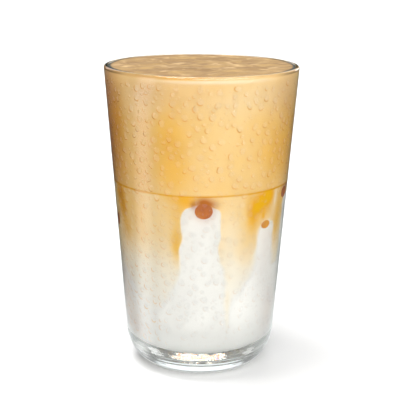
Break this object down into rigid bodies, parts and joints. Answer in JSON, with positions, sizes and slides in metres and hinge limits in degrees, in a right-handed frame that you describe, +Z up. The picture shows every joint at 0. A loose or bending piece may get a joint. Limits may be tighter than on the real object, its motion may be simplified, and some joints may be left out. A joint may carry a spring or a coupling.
{
  "type": "frappe coffee in a glass",
  "caption": "Tall clear tumbler filled to the brim with layered iced coffee: white milk plumes below, milky coffee above them, and a deep level layer of coffee foam on top.",
  "frame": {"origin": "centre of the glass's foot on the table, on its axis", "axes": "+Z up along the glass's axis; -Y towards the viewer; +X to the viewer's right"},
  "size_m": [0.085, 0.085, 0.135],
  "materials": {
    "glass": "clear fire-polished soda-lime glass, wet with fine drops outside",
    "milk": "opaque white milk behind the glass",
    "coffee_milk": "milk tinted with coffee, deeper near the level line",
    "foam": "fine whipped coffee foam with soft streaks on top",
    "coffee": "dark brown coffee drops against the glass"
  },
  "bodies": {
    "root": {"glass": "glass", "milk": "milk", "coffee_milk": "coffee_milk", "foam": "foam", "coffee_bead_1": "coffee", "coffee_bead_2": "coffee", "coffee_bead_3": "coffee", "coffee_bead_4": "coffee", "coffee_bead_5": "coffee", "coffee_bead_6": "coffee"}
  },
  "joints": []
}
